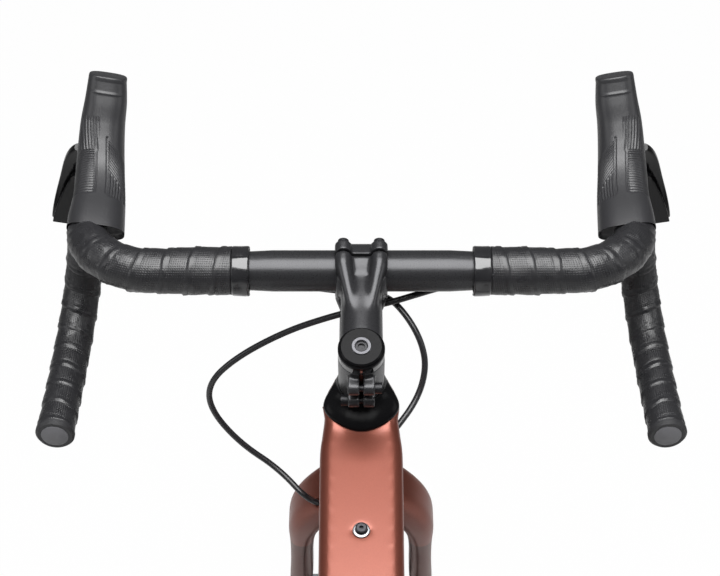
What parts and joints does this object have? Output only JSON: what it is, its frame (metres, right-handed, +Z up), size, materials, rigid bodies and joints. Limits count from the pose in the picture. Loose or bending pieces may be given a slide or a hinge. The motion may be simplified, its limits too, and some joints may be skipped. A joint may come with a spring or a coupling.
{
  "type": "gravel bicycle",
  "caption": "Gravel bicycle with flared drop bar, hydraulic disc brakes, wide tyres, single chainring and wireless rear derailleur; steers, rolls, pedals, shifts and brakes.",
  "frame": {"origin": "on the ground midway between the two axles, in the bicycle's middle plane", "axes": "+X to the rider's right, +Y forwards, +Z up"},
  "size_m": [0.5282, 1.732, 1.0198],
  "materials": {
    "copper_paint": "satin metallic",
    "gloss_black": "gloss",
    "satin_black": "satin anodised",
    "carbon_black": "matt",
    "tape": "textured",
    "finishing": "gloss",
    "plug": "satin",
    "hood_rubber": "matt",
    "lever_black": "satin",
    "steel": "bright",
    "black_steel": "black oxide",
    "tyre": "matt",
    "alloy_black": "anodised",
    "cassette_metal": "satin",
    "pulley": "matt",
    "saddle_cover": "matt"
  },
  "bodies": {
    "frame": {"front_triangle": "copper_paint", "seat_stays": "copper_paint", "chain_stays": "copper_paint", "headset_cover": "gloss_black", "headset_bearings": "steel", "top_tube_bolts": "black_steel", "bottle_inserts": "plug", "seat_clamp": "satin_black", "bottom_bracket": "steel", "derailleur_hanger": "alloy_black", "rear_axle": "steel", "rear_caliper": "alloy_black", "rear_brake_hose": "hood_rubber", "derailleur_b_knuckle": "alloy_black", "chain": "steel"},
    "seat": {"seatpost": "satin_black", "saddle_clamp": "alloy_black", "saddle_rails": "steel", "saddle_shell": "carbon_black", "saddle_cover": "saddle_cover"},
    "steering": {"fork": "copper_paint", "stem": "satin_black", "stem_faceplate": "satin_black", "cockpit_bolts": "black_steel", "handlebar": "satin_black", "bar_tape": "tape", "finishing_tape": "finishing", "bar_end_plugs": "plug", "lever_hoods": "hood_rubber", "lever_brackets": "satin_black", "front_brake_hose": "hood_rubber", "top_cap": "gloss_black", "stem_spacer": "satin_black", "steerer_plug": "black_steel", "front_caliper": "alloy_black", "front_axle": "steel"},
    "lever_left": {"brake_lever_left": "lever_black"},
    "lever_right": {"brake_lever_right": "lever_black"},
    "paddle_left": {"shift_paddle_left": "lever_black"},
    "paddle_right": {"shift_paddle_right": "lever_black"},
    "front_wheel": {"front_tyre": "tyre", "front_rim": "carbon_black", "front_spokes": "black_steel", "front_hub": "alloy_black", "front_rotor": "steel"},
    "rear_wheel": {"rear_tyre": "tyre", "rear_rim": "carbon_black", "rear_spokes": "black_steel", "rear_hub": "alloy_black", "rear_rotor": "steel"},
    "cassette": {"cassette": "cassette_metal"},
    "crank": {"crank_arms": "alloy_black", "chainring": "alloy_black"},
    "pedal_left": {"pedal_left": "alloy_black"},
    "pedal_right": {"pedal_right": "alloy_black"},
    "derailleur_link": {"derailleur_link": "alloy_black"},
    "derailleur_p_knuckle": {"derailleur_p_knuckle": "alloy_black"},
    "derailleur_cage": {"derailleur_cage": "alloy_black"},
    "guide_pulley": {"guide_pulley": "pulley"},
    "tension_pulley": {"tension_pulley": "pulley"}
  },
  "joints": [
    {"name": "steering", "type": "hinge", "parent": "frame", "child": "steering", "pos_m": [0, 0.34326, 0.70671], "axis": [0, -0.3173, 0.9483], "range_deg": [-60, 60], "deforming": ["rear_brake_hose"]},
    {"name": "front_wheel_spin", "type": "hinge", "parent": "steering", "child": "front_wheel", "pos_m": [0, 0.515, 0.351], "axis": [-1, 0, 0], "continuous": true},
    {"name": "rear_wheel_spin", "type": "hinge", "parent": "frame", "child": "rear_wheel", "pos_m": [0, -0.515, 0.351], "axis": [-1, 0, 0], "continuous": true},
    {"name": "crank_spin", "type": "hinge", "parent": "frame", "child": "crank", "pos_m": [0, -0.0931, 0.279], "axis": [-1, 0, 0], "continuous": true, "deforming": ["chain"]},
    {"name": "cassette_spin", "type": "hinge", "parent": "frame", "child": "cassette", "pos_m": [0, -0.515, 0.351], "axis": [-1, 0, 0], "continuous": true},
    {"name": "pedal_left_spin", "type": "hinge", "parent": "crank", "child": "pedal_left", "pos_m": [-0.125, -0.2656, 0.279], "axis": [-1, 0, 0], "continuous": true},
    {"name": "pedal_right_spin", "type": "hinge", "parent": "crank", "child": "pedal_right", "pos_m": [0.125, 0.0794, 0.279], "axis": [-1, 0, 0], "continuous": true},
    {"name": "seatpost_height", "type": "slide", "parent": "frame", "child": "seat", "axis": [0, -0.284, 0.9588], "range_m": [-0.1, 0.06]},
    {"name": "brake_pull_left", "type": "hinge", "parent": "steering", "child": "lever_left", "pos_m": [-0.21921, 0.51651, 0.8807], "axis": [-0.9829, 0, 0.184], "range_deg": [0, 20], "stiffness_Nm_per_rad": 2, "springref_deg": -11.46},
    {"name": "brake_pull_right", "type": "hinge", "parent": "steering", "child": "lever_right", "pos_m": [0.21921, 0.51651, 0.8807], "axis": [-0.9829, 0, -0.184], "range_deg": [0, 20], "stiffness_Nm_per_rad": 2, "springref_deg": -11.46},
    {"name": "shift_left", "type": "hinge", "parent": "lever_left", "child": "paddle_left", "pos_m": [-0.23905, 0.52601, 0.86712], "axis": [0, -1, 0], "range_deg": [0, 8], "stiffness_Nm_per_rad": 0.4, "springref_deg": -11.46},
    {"name": "shift_right", "type": "hinge", "parent": "lever_right", "child": "paddle_right", "pos_m": [0.23905, 0.52601, 0.86712], "axis": [0, 1, 0], "range_deg": [0, 8], "stiffness_Nm_per_rad": 0.4, "springref_deg": -11.46},
    {"name": "derailleur_shift", "type": "hinge", "parent": "frame", "child": "derailleur_link", "pos_m": [0.084, -0.54, 0.279], "axis": [0, 0.7772, 0.6292], "range_deg": [-20, 20]},
    {"name": "derailleur_level", "type": "hinge", "parent": "derailleur_link", "child": "derailleur_p_knuckle", "pos_m": [0.084, -0.506, 0.237], "axis": [0, 0.7772, 0.6292], "range_deg": [-20, 20]},
    {"name": "cage_swing", "type": "hinge", "parent": "derailleur_p_knuckle", "child": "derailleur_cage", "pos_m": [0, -0.499, 0.224], "axis": [1, 0, 0], "range_deg": [-40, 40]},
    {"name": "guide_pulley_spin", "type": "hinge", "parent": "derailleur_cage", "child": "guide_pulley", "pos_m": [0, -0.499, 0.224], "axis": [-1, 0, 0], "continuous": true},
    {"name": "tension_pulley_spin", "type": "hinge", "parent": "derailleur_cage", "child": "tension_pulley", "pos_m": [0, -0.47676, 0.14924], "axis": [-1, 0, 0], "continuous": true}
  ],
  "couplings": [
    {"joint": "cassette_spin", "follows": "crank_spin", "ratio": 2.1053},
    {"joint": "guide_pulley_spin", "follows": "crank_spin", "ratio": -3.3333},
    {"joint": "tension_pulley_spin", "follows": "crank_spin", "ratio": 3.3333},
    {"joint": "derailleur_level", "follows": "derailleur_shift", "ratio": -1}
  ]
}
